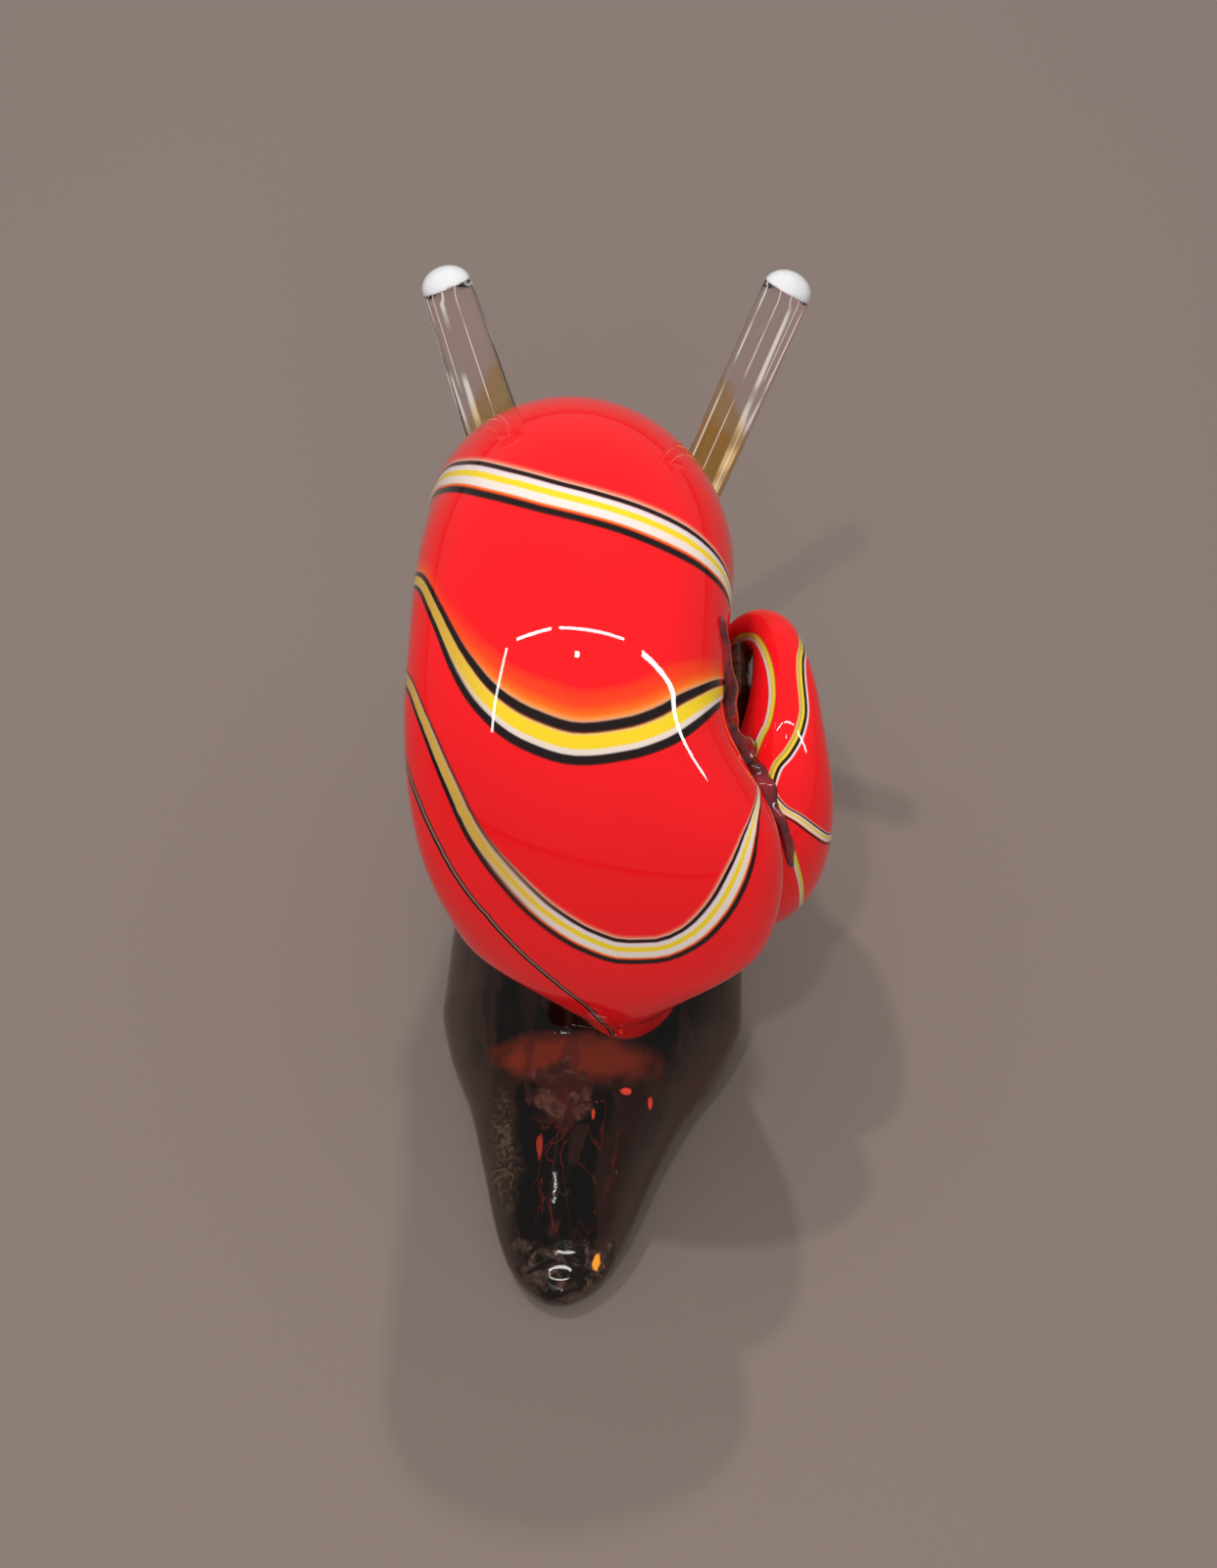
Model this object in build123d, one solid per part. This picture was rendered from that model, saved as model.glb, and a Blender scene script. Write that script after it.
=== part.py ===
from build123d import *
import os
from math import cos, sin, radians, sqrt

os.makedirs("parts", exist_ok=True)

# All sizes are in mm. +X is the snail's right, +Y its front, +Z up.

# Shell: a blown bubble drawn out into a horn and coiled about a sideways axis
shell_radius = 58.5
shell_half_width = 31.5
shell_side_place = -4.0
shell_sink = 4.8
casing_wall = 1.2
cane_bed_gap = 0.25
bubble_wall = 1.5
full_wall_radius = 12.0
mouth_angle = 215.0

# Striped canes laid on the bubble
cane_a_width = 7.4
cane_b_width = 6.8
cane_thickness = 0.5
cane_band_gap = 0.06

# Body: foot, tail, neck and head pulled from one gather
tail_reach = 94.0
foot_half_width = 32.5
foot_height = 38.0
head_lead = 22.5
head_half_width = 19.5
head_height = 67.5
head_side_place = -5.5
seam_clearance = 0.1

# Tentacles: clear rods drawn from amber stubs on the head, with white tips
tentacle_rise = 86.5
stub_depth = 17.5
stub_flare = 2.6
stub_flare_rise = 15.0
left_root_spread = 13.0
left_side_lean = 14.8
left_back_lean = 5.5
left_root_radius = 7.4
left_tip_radius = 4.7
left_wedge_height = 51.0
left_wedge_rise = 40.0
right_root_spread = 12.5
right_side_lean = 23.0
right_back_lean = 3.5
right_root_radius = 5.4
right_tip_radius = 4.6
right_wedge_height = 58.0
right_wedge_rise = 18.0
tip_dome_height = 3.0
white_tip_height = 3.0
white_tip_side_slant = 2.4
white_tip_front_slant = 5.0


def slopes(places, values):
    # Slopes that let a smooth curve pass the values without overshoot
    steps = [b - a for a, b in zip(places, places[1:])]
    grades = [(b - a) / h for a, b, h in zip(values, values[1:], steps)]
    found = [grades[0]]
    for before, after, h0, h1 in zip(grades, grades[1:], steps, steps[1:]):
        if before * after <= 0:
            found.append(0.0)
        else:
            w0 = 2 * h1 + h0
            w1 = h1 + 2 * h0
            found.append((w0 + w1) / (w0 / before + w1 / after))
    return found + [grades[-1]]


class Track:
    # A table of rows, read smoothly between its places
    def __init__(self, rows):
        self.places = [row[0] for row in rows]
        self.columns = [list(column) for column in list(zip(*rows))[1:]]
        self.slopes = [slopes(self.places, column) for column in self.columns]

    def at(self, place):
        last = len(self.places) - 2
        k = 0
        while k < last and place > self.places[k + 1]:
            k += 1
        h = self.places[k + 1] - self.places[k]
        t = min(max((place - self.places[k]) / h, 0.0), 1.0)
        out = []
        for column, slope in zip(self.columns, self.slopes):
            a = column[k]
            b = column[k + 1]
            bend_a = t * (1 - t) ** 2 * h * slope[k]
            bend_b = t * t * (t - 1) * h * slope[k + 1]
            out.append(a + (b - a) * t * t * (3 - 2 * t) + bend_a + bend_b)
        return out


# Columns: turn, centre radius, half depth (both of shell_radius),
# side place, half width (both of shell_half_width), lean of the widest place
shell_shares = Track([
    (-14, 1.120, 0.014, 0.406, 0.032, 0.00),
    (-9, 1.077, 0.055, 0.365, 0.140, -0.12),
    (0, 1.000, 0.113, 0.317, 0.286, -0.30),
    (8, 0.940, 0.152, 0.268, 0.360, -0.35),
    (14, 0.892, 0.180, 0.252, 0.440, -0.32),
    (20, 0.848, 0.217, 0.240, 0.605, -0.20),
    (32, 0.770, 0.268, 0.218, 0.905, 0.07),
    (55, 0.679, 0.306, 0.130, 0.980, 0.21),
    (90, 0.598, 0.385, -0.086, 0.857, 0.12),
    (135, 0.556, 0.436, -0.073, 0.895, 0.05),
    (180, 0.530, 0.470, -0.165, 0.898, 0.00),
    (225, 0.487, 0.427, -0.063, 0.794, 0.00),
    (270, 0.479, 0.368, 0.127, 0.667, 0.00),
    (315, 0.496, 0.308, 0.540, 0.556, 0.00),
    (360, 0.479, 0.256, 0.994, 0.460, 0.00),
    (390, 0.414, 0.221, 1.111, 0.381, 0.00),
    (420, 0.349, 0.185, 1.152, 0.292, 0.00),
    (450, 0.311, 0.144, 1.156, 0.216, 0.00),
    (495, 0.284, 0.099, 1.117, 0.149, 0.00),
    (540, 0.258, 0.075, 0.978, 0.133, 0.00),
    (585, 0.219, 0.068, 0.835, 0.124, 0.00),
    (630, 0.188, 0.062, 0.810, 0.111, 0.00),
    (670, 0.150, 0.051, 0.921, 0.095, 0.00),
    (700, 0.133, 0.038, 1.063, 0.070, 0.00),
    (708, 0.133, 0.012, 1.105, 0.022, 0.00),
])

# The whorl's reach below and ahead of the coil axis
lower_reach_share = 0.80
front_reach_share = 0.93
axis_height = foot_height + shell_radius * lower_reach_share - shell_sink
head_reach = shell_radius * front_reach_share + head_lead


def shell_point(turn, around, depth):
    # Depth is measured inward from the casing's outside; thin ends have thin layers
    centre, deep, side, wide, lean = shell_shares.at(turn)
    deep *= shell_radius
    wide *= shell_half_width
    thinning = min(deep, wide) / full_wall_radius
    inset = depth * min(thinning, 1.0)
    ring = centre * shell_radius + (deep - inset) * cos(radians(around))
    reach = (wide - inset) * sin(radians(around)) * (1 + lean * cos(radians(around)))
    angle = radians(mouth_angle - turn)
    x = shell_side_place + side * shell_half_width + reach
    return Vector(x, ring * cos(angle), axis_height + ring * sin(angle))


# A closed ring is drawn as four arcs whose end directions are the ring's own
arc_steps = 6
arc_shares = [k / arc_steps for k in range(arc_steps + 1)]


def ring(point_at):
    arcs = []
    for first in (0, 90, 180, 270):
        points = [point_at(first + 90 * share) for share in arc_shares]
        ends = [(point_at(angle + 1) - point_at(angle - 1)) * 45 for angle in (first, first + 90)]
        arcs.append(Edge.make_spline(points, tangents=ends, parameters=arc_shares, scale=False))
    return Wire(arcs)


# Turns of the coil at which the horn's rings stand, closer together where the form changes fast
mouth_turn = -14
tip_turn = 708
turn_marks = list(range(-12, 24, 3)) + [24, 28, 32, 36, 40, 45, 50, 55, 62, 70, 80, 90, 105, 120]
turn_marks += list(range(135, 690, 15)) + [690, 697, 703]


def horn(depth, first_turn, last_turn):
    # The coiled horn at one depth, as a closed solid between two turns
    between = [turn for turn in turn_marks if first_turn + 1 < turn < last_turn - 1]
    rings = []
    for turn in [first_turn] + between + [last_turn]:
        rings.append(ring(lambda angle: shell_point(turn, angle, depth)))
    return Solid.make_loft(rings, False)


bubble_depth = casing_wall + cane_bed_gap + cane_thickness + cane_bed_gap
shell_casing = horn(0, mouth_turn, tip_turn) - horn(casing_wall, -12, 703)
shell_bubble = horn(bubble_depth, -6, 690) - horn(bubble_depth + bubble_wall, 0, 555)

# Routes of the canes: angle wound round the horn, and the turn of the coil there
cane_a_route = [
    (-1330, 688), (-1270, 662), (-1180, 632), (-1100, 605), (-1045, 578), (-1016, 552), (-1006, 528),
    (-1009, 508), (-1020, 493), (-1036, 480), (-1051, 470), (-1055, 460), (-1054, 450), (-1062, 441),
    (-1078, 433), (-1091, 428), (-1095, 422), (-1082, 416), (-1062, 412), (-1042, 406), (-1016, 396),
    (-960, 375), (-880, 342), (-800, 303), (-700, 256), (-600, 212),
    (-520, 180), (-460, 162), (-426, 152), (-406, 139), (-382, 128), (-362, 123), (-344, 121),
    (-327, 120), (-310, 119.5), (-296, 119), (-270, 117), (-240, 112), (-180, 103), (-120, 97), (-64, 90),
    (-48, 82), (-38, 73), (-30, 63), (-22, 56), (-12, 49), (-3, 45), (6, 43), (15, 43), (24, 45),
    (33, 50), (42, 57), (52, 63), (64, 67), (78, 69), (94, 69.5), (130, 67), (180, 60), (230, 50),
    (280, 42), (294, 39),
]
cane_b_route = [
    (-1010, 688), (-980, 660), (-930, 610), (-885, 565), (-850, 541), (-826, 524), (-804, 505), (-780, 489),
    (-762, 476), (-749, 463), (-745, 453), (-748, 444), (-757, 437), (-762, 430), (-757, 421), (-742, 414),
    (-724, 410), (-712, 406), (-704, 401), (-697, 395), (-689, 387), (-681, 376), (-668, 358), (-645, 336),
    (-600, 312), (-530, 270),
    (-450, 225), (-380, 190), (-330, 170), (-292, 157), (-240, 146), (-180, 137), (-120, 129), (-62, 113),
    (-46, 103), (-32, 93), (-21, 87), (-9, 83), (5, 81), (20, 82), (33, 84), (46, 87), (68, 91),
    (95, 93), (130, 92), (180, 87), (240, 80), (285, 75), (300, 69), (312, 60), (318, 54),
    (327, 46), (336, 38),
    (344, 32), (350, 26), (353, 16), (355, 8), (356, 4),
]
route_step = 6


def spaced(route):
    # Even places along a route, by the way run over its two angles
    runs = [0]
    for a, b in zip(route, route[1:]):
        runs.append(runs[-1] + sqrt((a[0] - b[0]) ** 2 + (a[1] - b[1]) ** 2))
    track = Track([(run, *point) for run, point in zip(runs, route)])
    count = int(runs[-1] / route_step)
    return [track.at(runs[-1] * k / count) for k in range(count + 1)]


# Columns: angle wound round the horn, share of the cane's width left there
cane_a_width_shares = Track([
    (-1330, 0.16), (-1060, 0.27), (-1020, 0.29), (-900, 0.50), (-750, 0.70), (-600, 0.90), (-430, 0.94),
    (-380, 1.0), (-326, 1.0), (-306, 0.88), (-288, 0.70), (-240, 0.64), (-90, 0.50), (-55, 0.38), (-36, 0.46),
    (-16, 0.70), (15, 0.80), (38, 0.75), (50, 0.54), (63, 0.28), (80, 0.20), (294, 0.20),
])
cane_b_width_shares = Track([
    (-1010, 0.16), (-760, 0.24), (-724, 0.18), (-680, 0.17), (-620, 0.44), (-450, 0.80), (-292, 0.84),
    (-150, 0.66), (-64, 0.44), (-44, 0.50), (-26, 0.78), (-6, 1.0), (40, 1.0), (58, 0.80), (75, 0.62),
    (100, 0.54), (180, 0.50), (260, 0.40), (300, 0.24), (325, 0.17), (356, 0.16),
])
# On the inner side the turns of the coil stand close together, and a cane closes up
closing_start_share = 0.72
cane_outer_depth = casing_wall + cane_bed_gap
cane_inner_depth = cane_outer_depth + cane_thickness


def ribbon(sections):
    # A solid strip along four rails, through sections of four corners
    pace = [k / (len(sections) - 1) for k in range(len(sections))]
    rails = [Edge.make_spline([corners[k] for corners in sections], parameters=pace) for k in range(4)]
    faces = [Face.make_surface_from_curves(rails[k - 1], rails[k]) for k in range(4)]
    for corners in (sections[0], sections[-1]):
        near = Edge.make_line(corners[0], corners[1])
        far = Edge.make_line(corners[3], corners[2])
        faces.append(Face.make_surface_from_curves(near, far))
    return Solid(Shell(faces))


def cane_band(places, width, width_shares, left_share, right_share):
    # One band of a cane, between two shares of its half width, as a ribbon along the route
    sections = []
    for before, here, after in zip(places, places[1:], places[2:]):
        around, turn = here
        middle, deep = shell_shares.at(turn)[:2]
        inward = (middle + deep * cos(radians(around))) / (middle + deep)
        drawn = width_shares.at(around)[0] * min(inward / closing_start_share, 1)
        half = width / 2 * drawn
        trim = cane_band_gap / 2 * drawn
        centre = shell_point(turn, around, cane_inner_depth)
        by_turn = shell_point(turn + 1, around, cane_inner_depth) - centre
        by_angle = shell_point(turn, around + 1, cane_inner_depth) - centre
        ahead = shell_point(after[1], after[0], cane_inner_depth)
        behind = shell_point(before[1], before[0], cane_inner_depth)
        across = by_turn.cross(by_angle).cross(ahead - behind).normalized()
        turn_square = by_turn.dot(by_turn)
        angle_square = by_angle.dot(by_angle)
        mixed = by_turn.dot(by_angle)
        whole = turn_square * angle_square - mixed * mixed
        turn_rate = (by_turn.dot(across) * angle_square - by_angle.dot(across) * mixed) / whole
        angle_rate = (by_angle.dot(across) * turn_square - by_turn.dot(across) * mixed) / whole
        left = half * left_share + trim
        right = half * right_share - trim
        corners = []
        for shift, depth in (
            (left, cane_outer_depth),
            (right, cane_outer_depth),
            (right, cane_inner_depth),
            (left, cane_inner_depth),
        ):
            corners.append(shell_point(turn + turn_rate * shift, around + angle_rate * shift, depth))
        sections.append(corners)
    return ribbon(sections)


# Bands of each cane across its width, in half widths from the middle of its yellow
cane_a = (spaced(cane_a_route), cane_a_width, cane_a_width_shares)
cane_b = (spaced(cane_b_route), cane_b_width, cane_b_width_shares)
cane_a_yellow = cane_band(*cane_a, -0.16, 0.16)
cane_a_white = [
    cane_band(*cane_a, -0.52, -0.16),
    cane_band(*cane_a, 0.16, 0.76),
]
cane_a_black = [
    cane_band(*cane_a, -0.78, -0.52),
    cane_band(*cane_a, 0.76, 1.22),
]
cane_b_yellow = cane_band(*cane_b, -0.34, 0.30)
cane_b_white = [
    cane_band(*cane_b, -0.46, -0.34),
    cane_band(*cane_b, 0.30, 0.60),
]
cane_b_black = [
    cane_band(*cane_b, -0.94, -0.46),
    cane_band(*cane_b, 0.60, 1.06),
]

# Body rings. Foot rows: place behind the coil axis (of tail_reach), middle and half height
# (of foot_height), half width and side place (of foot_half_width)
foot_shares = [
    (-1.000, 0.118, 0.066, 0.080, -0.185),
    (-0.985, 0.124, 0.110, 0.170, -0.184),
    (-0.955, 0.140, 0.155, 0.270, -0.182),
    (-0.890, 0.195, 0.225, 0.385, -0.175),
    (-0.745, 0.265, 0.305, 0.540, -0.155),
    (-0.620, 0.340, 0.395, 0.690, -0.120),
    (-0.490, 0.400, 0.510, 0.905, -0.080),
    (-0.385, 0.415, 0.535, 1.000, -0.062),
    (-0.240, 0.415, 0.530, 1.000, -0.060),
    (-0.105, 0.420, 0.535, 0.985, -0.065),
    (0.060, 0.425, 0.545, 0.945, -0.085),
]
# Neck rows: place ahead of the coil axis (of head_reach), middle (of head_height), tilt in degrees,
# half depth (of head_height), half width (of head_half_width)
neck_shares = [
    (0.260, 0.295, 4, 0.355, 1.48),
    (0.455, 0.370, 15, 0.385, 1.31),
    (0.640, 0.480, 35, 0.330, 1.13),
    (0.765, 0.620, 55, 0.255, 1.08),
    (0.822, 0.770, 72, 0.205, 1.05),
    (0.818, 0.895, 84, 0.172, 0.930),
    (0.808, 0.965, 89, 0.118, 0.640),
    (0.803, 0.997, 90, 0.048, 0.250),
]
upper_roundness = 2.2
lower_roundness = 3.0


def body_point(angle, middle, side, half_width, half_height, tilt):
    # A place on a body ring: rounder above the middle, squarer below
    across = cos(radians(angle))
    up = sin(radians(angle))
    roundness = upper_roundness if up > 0 else lower_roundness
    reach = (abs(across) / half_width) ** roundness + (abs(up) / half_height) ** roundness
    reach = reach ** (-1 / roundness)
    rise = reach * up
    lean = radians(tilt)
    return Vector(side + reach * across, middle.Y - rise * sin(lean), middle.Z + rise * cos(lean))


body_rings = []
for back, middle, half_height, half_width, side in foot_shares:
    row = (
        Vector(0, back * tail_reach, middle * foot_height),
        side * foot_half_width,
        half_width * foot_half_width,
        half_height * foot_height,
        0,
    )
    body_rings.append(ring(lambda angle: body_point(angle, *row)))
for ahead, middle, tilt, half_depth, half_width in neck_shares:
    row = (
        Vector(0, ahead * head_reach, middle * head_height),
        head_side_place,
        half_width * head_half_width,
        half_depth * head_height,
        tilt,
    )
    body_rings.append(ring(lambda angle: body_point(angle, *row)))
gather = Solid.make_loft(body_rings, False)

# The foot is ground flat where it stands
ground_size = 4 * (tail_reach + head_reach)
ground = Pos(0, 0, -ground_size / 2) * Box(ground_size, ground_size, ground_size)
saddle = horn(-seam_clearance, mouth_turn, tip_turn)
gather = gather - ground - saddle

# Tentacles: each is drawn as one rod, then parted into amber stub, clear rod and white tip
stub_start_share = 0.765
stub_start = head_height - stub_depth
stub_front = head_reach * stub_start_share


def tentacle(root_side, side_lean, back_lean, root_radius, tip_radius, wedge_height, wedge_rise):
    # The parting planes fall to the outside, the white tip's to the front as well
    root = Vector(root_side, stub_front, stub_start)
    along = Vector(side_lean, -back_lean, tentacle_rise)
    length = along.length
    outward = Vector(side_lean, 0, 0).normalized()
    flare_radius = root_radius + stub_flare
    flare = (flare_radius, 0)
    bottom = (0, -flare_radius)
    neck = (root_radius, stub_flare_rise)
    shoulder = (tip_radius, length)
    top = (0, length + tip_dome_height)
    taper = (tip_radius - root_radius, length - stub_flare_rise)
    outline = [
        RadiusArc(bottom, flare, -flare_radius),
        Spline(flare, neck, tangents=[(-stub_flare, stub_flare_rise), taper]),
        Line(neck, shoulder),
        Spline(shoulder, top, tangents=[(0, tip_dome_height), (-tip_radius, 0)]),
        Line(top, bottom),
    ]
    profile = Plane.XZ * make_face(outline)
    place = Plane(origin=root, z_dir=along)
    rod = place.location * revolve(profile, Axis.Z)
    up = along.normalized()
    wedge_normal = up * (2 * root_radius) + outward * wedge_rise
    wedge = Plane(origin=root + up * wedge_height, z_dir=wedge_normal)
    forward = Vector(0, white_tip_front_slant, 0)
    tip_normal = up * (2 * tip_radius) + outward * white_tip_side_slant + forward
    tip_place = root + up * (length + tip_dome_height - white_tip_height)
    tip_plane = Plane(origin=tip_place, z_dir=tip_normal)
    stub = split(rod, bisect_by=wedge, keep=Keep.BOTTOM)
    rest = split(rod, bisect_by=wedge, keep=Keep.TOP)
    clear = split(rest, bisect_by=tip_plane, keep=Keep.BOTTOM)
    white = split(rest, bisect_by=tip_plane, keep=Keep.TOP)
    return stub, clear, white


left_root = head_side_place - left_root_spread
right_root = head_side_place + right_root_spread
left_rod = (-left_side_lean, left_back_lean, left_root_radius, left_tip_radius)
right_rod = (right_side_lean, right_back_lean, right_root_radius, right_tip_radius)
left_stub, tentacle_left, tip_left = tentacle(left_root, *left_rod, left_wedge_height, left_wedge_rise)
right_stub, tentacle_right, tip_right = tentacle(right_root, *right_rod, right_wedge_height, right_wedge_rise)
body = gather + left_stub + right_stub

pieces = {
    "body": body,
    "shell_bubble": shell_bubble,
    "shell_casing": shell_casing,
    "cane_a_yellow": cane_a_yellow,
    "cane_a_white": Compound(children=cane_a_white),
    "cane_a_black": Compound(children=cane_a_black),
    "cane_b_yellow": cane_b_yellow,
    "cane_b_white": Compound(children=cane_b_white),
    "cane_b_black": Compound(children=cane_b_black),
    "tentacle_left": tentacle_left,
    "tentacle_right": tentacle_right,
    "tentacle_tip_left": tip_left,
    "tentacle_tip_right": tip_right,
}

# The frame's origin is the middle of the box round the whole, at the foot's underside
whole = Compound(list(pieces.values())).bounding_box()
shift = Pos(-(whole.min.X + whole.max.X) / 2, -(whole.min.Y + whole.max.Y) / 2, 0)
for name, piece in pieces.items():
    export_step(shift * piece, "parts/" + name + ".step")
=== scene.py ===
import bpy
import numpy as np
from math import cos, radians, sin
from mathutils import Matrix, Vector


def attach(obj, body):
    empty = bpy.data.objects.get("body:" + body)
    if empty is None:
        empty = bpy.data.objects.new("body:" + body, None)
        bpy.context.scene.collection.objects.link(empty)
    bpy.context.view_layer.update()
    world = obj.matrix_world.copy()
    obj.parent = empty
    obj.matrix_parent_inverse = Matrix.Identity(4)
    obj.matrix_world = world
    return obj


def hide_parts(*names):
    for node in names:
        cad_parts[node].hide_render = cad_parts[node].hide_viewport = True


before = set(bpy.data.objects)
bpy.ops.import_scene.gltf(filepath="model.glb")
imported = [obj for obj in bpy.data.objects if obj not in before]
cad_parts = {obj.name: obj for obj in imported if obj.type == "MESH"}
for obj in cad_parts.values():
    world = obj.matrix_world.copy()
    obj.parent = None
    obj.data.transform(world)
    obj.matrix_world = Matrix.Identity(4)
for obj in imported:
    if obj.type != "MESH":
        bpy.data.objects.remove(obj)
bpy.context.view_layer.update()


# Shell: a blown bubble of red glass, drawn out into a horn and coiled to the snail's right.
# Two striped canes are wound round it hot, and a clear gather covers all of it.
# It is fused to the saddle of the body while both are soft.
shell_radius = 58.5
shell_half_width = 31.5
axis_height = 80.0
axis_place = (-6.5, 8.9)
mouth_angle = 215.0
# Sizes and places on the snail are in mm, and the scene is in metres
mm = 0.001

# Columns: turn, centre radius, half depth (both of shell_radius),
# side place, half width (both of shell_half_width), lean of the widest place
shell_rows = [
    (-14, 1.120, 0.014, 0.406, 0.032, 0.00),
    (-9, 1.077, 0.055, 0.365, 0.140, -0.12),
    (0, 1.000, 0.113, 0.317, 0.286, -0.30),
    (8, 0.940, 0.152, 0.268, 0.360, -0.35),
    (14, 0.892, 0.180, 0.252, 0.440, -0.32),
    (20, 0.848, 0.217, 0.240, 0.605, -0.20),
    (32, 0.770, 0.268, 0.218, 0.905, 0.07),
    (55, 0.679, 0.306, 0.130, 0.980, 0.21),
    (90, 0.598, 0.385, -0.086, 0.857, 0.12),
    (135, 0.556, 0.436, -0.073, 0.895, 0.05),
    (180, 0.530, 0.470, -0.165, 0.898, 0.00),
    (225, 0.487, 0.427, -0.063, 0.794, 0.00),
    (270, 0.479, 0.368, 0.127, 0.667, 0.00),
    (315, 0.496, 0.308, 0.540, 0.556, 0.00),
    (360, 0.479, 0.256, 0.994, 0.460, 0.00),
    (390, 0.414, 0.221, 1.111, 0.381, 0.00),
    (420, 0.349, 0.185, 1.152, 0.292, 0.00),
    (450, 0.311, 0.144, 1.156, 0.216, 0.00),
    (495, 0.284, 0.099, 1.117, 0.149, 0.00),
    (540, 0.258, 0.075, 0.978, 0.133, 0.00),
    (585, 0.219, 0.068, 0.835, 0.124, 0.00),
    (630, 0.188, 0.062, 0.810, 0.111, 0.00),
    (670, 0.150, 0.051, 0.921, 0.095, 0.00),
    (700, 0.133, 0.038, 1.063, 0.070, 0.00),
    (708, 0.133, 0.012, 1.105, 0.022, 0.00),
]


def smooth(rows, places):
    # Reads a table at many places, along a smooth curve that doesn't overshoot its rows
    rows = np.array(rows, float)
    x = rows[:, 0]
    y = rows[:, 1:]
    h = np.diff(x)
    grade = np.diff(y, axis=0) / h[:, None]
    before = grade[:-1]
    after = grade[1:]
    w0 = (2 * h[1:] + h[:-1])[:, None]
    w1 = (h[1:] + 2 * h[:-1])[:, None]
    level = before * after <= 0
    safe_before = np.where(level, 1.0, before)
    safe_after = np.where(level, 1.0, after)
    inner = np.where(level, 0.0, (w0 + w1) / (w0 / safe_before + w1 / safe_after))
    slope = np.vstack([grade[:1], inner, grade[-1:]])
    places = np.asarray(places, float)
    k = np.clip(np.searchsorted(x, places, side="right") - 1, 0, len(h) - 1)
    t = np.clip((places - x[k]) / h[k], 0, 1)[..., None]
    hk = h[k][..., None]
    rise = y[k] + (y[k + 1] - y[k]) * t * t * (3 - 2 * t)
    return rise + t * (1 - t) ** 2 * hk * slope[k] + t * t * (t - 1) * hk * slope[k + 1]


def shell_place(turn, around):
    # A place on the horn, in mm, for arrays of turns and angles
    row = smooth(shell_rows, turn)
    deep = row[..., 1] * shell_radius
    wide = row[..., 3] * shell_half_width
    side = row[..., 2] * shell_half_width
    a = np.radians(around)
    ring = row[..., 0] * shell_radius + deep * np.cos(a)
    reach = wide * np.sin(a) * (1 + row[..., 4] * np.cos(a))
    angle = np.radians(mouth_angle - np.asarray(turn, float))
    x = axis_place[0] + side + reach
    y = axis_place[1] + ring * np.cos(angle)
    z = axis_height + ring * np.sin(angle)
    return np.stack([x, y, z], axis=-1)


def rolled_sheet(name, columns, rows):
    # A flat grid, later rolled up: its corners stand in rows of equal length
    bpy.ops.object.select_all(action="DESELECT")
    bpy.ops.mesh.primitive_grid_add(x_subdivisions=columns, y_subdivisions=rows, size=2)
    sheet = bpy.context.object
    sheet.name = name
    sheet.data.name = name
    return sheet


def corners_of(piece):
    # The places of a mesh's corners, one to a row
    flat = np.empty(len(piece.data.vertices) * 3)
    piece.data.vertices.foreach_get("co", flat)
    return flat.reshape(-1, 3)


def roll_up(sheet, places):
    # Puts the sheet's corners at places in mm, closes its seam and its two ends, and turns its faces out
    weld = 0.004
    sheet.data.vertices.foreach_set("co", np.asarray(places * mm, np.float32).ravel())
    sheet.data.update()
    bpy.ops.object.mode_set(mode="EDIT")
    bpy.ops.mesh.select_all(action="SELECT")
    bpy.ops.mesh.remove_doubles(threshold=weld * mm)
    bpy.ops.mesh.select_all(action="DESELECT")
    bpy.ops.mesh.select_mode(type="EDGE")
    bpy.ops.mesh.select_non_manifold()
    bpy.ops.mesh.fill()
    bpy.ops.mesh.select_all(action="SELECT")
    bpy.ops.mesh.normals_make_consistent(inside=False)
    bpy.ops.mesh.select_mode(type="VERT")
    bpy.ops.object.mode_set(mode="OBJECT")
    bpy.ops.object.shade_smooth()


def keep_on(piece, name, values):
    # A number kept on each corner of the mesh, for the material to read
    attribute = piece.data.attributes.new(name, "FLOAT", "POINT")
    attribute.data.foreach_set("value", np.asarray(values, np.float32).ravel())


# Routes of the canes: angle wound round the horn, and the turn of the coil there
cane_a_route = [
    (-1330, 688), (-1270, 662), (-1180, 632), (-1100, 605), (-1045, 578), (-1016, 552), (-1006, 528),
    (-1009, 508), (-1020, 493), (-1036, 480), (-1051, 470), (-1055, 460), (-1054, 450), (-1062, 441),
    (-1078, 433), (-1091, 428), (-1095, 422), (-1082, 416), (-1062, 412), (-1042, 406), (-1016, 396),
    (-960, 375), (-880, 342), (-800, 303), (-700, 256), (-600, 212),
    (-520, 180), (-460, 162), (-426, 152), (-406, 139), (-382, 128), (-362, 123), (-344, 121),
    (-327, 120), (-310, 119.5), (-296, 119), (-270, 117), (-240, 112), (-180, 103), (-120, 97), (-64, 90),
    (-48, 82), (-38, 73), (-30, 63), (-22, 56), (-12, 49), (-3, 45), (6, 43), (15, 43), (24, 45),
    (33, 50), (42, 57), (52, 63), (64, 67), (78, 69), (94, 69.5),
    (130, 67), (180, 60), (230, 50), (280, 42), (294, 39),
]
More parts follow.
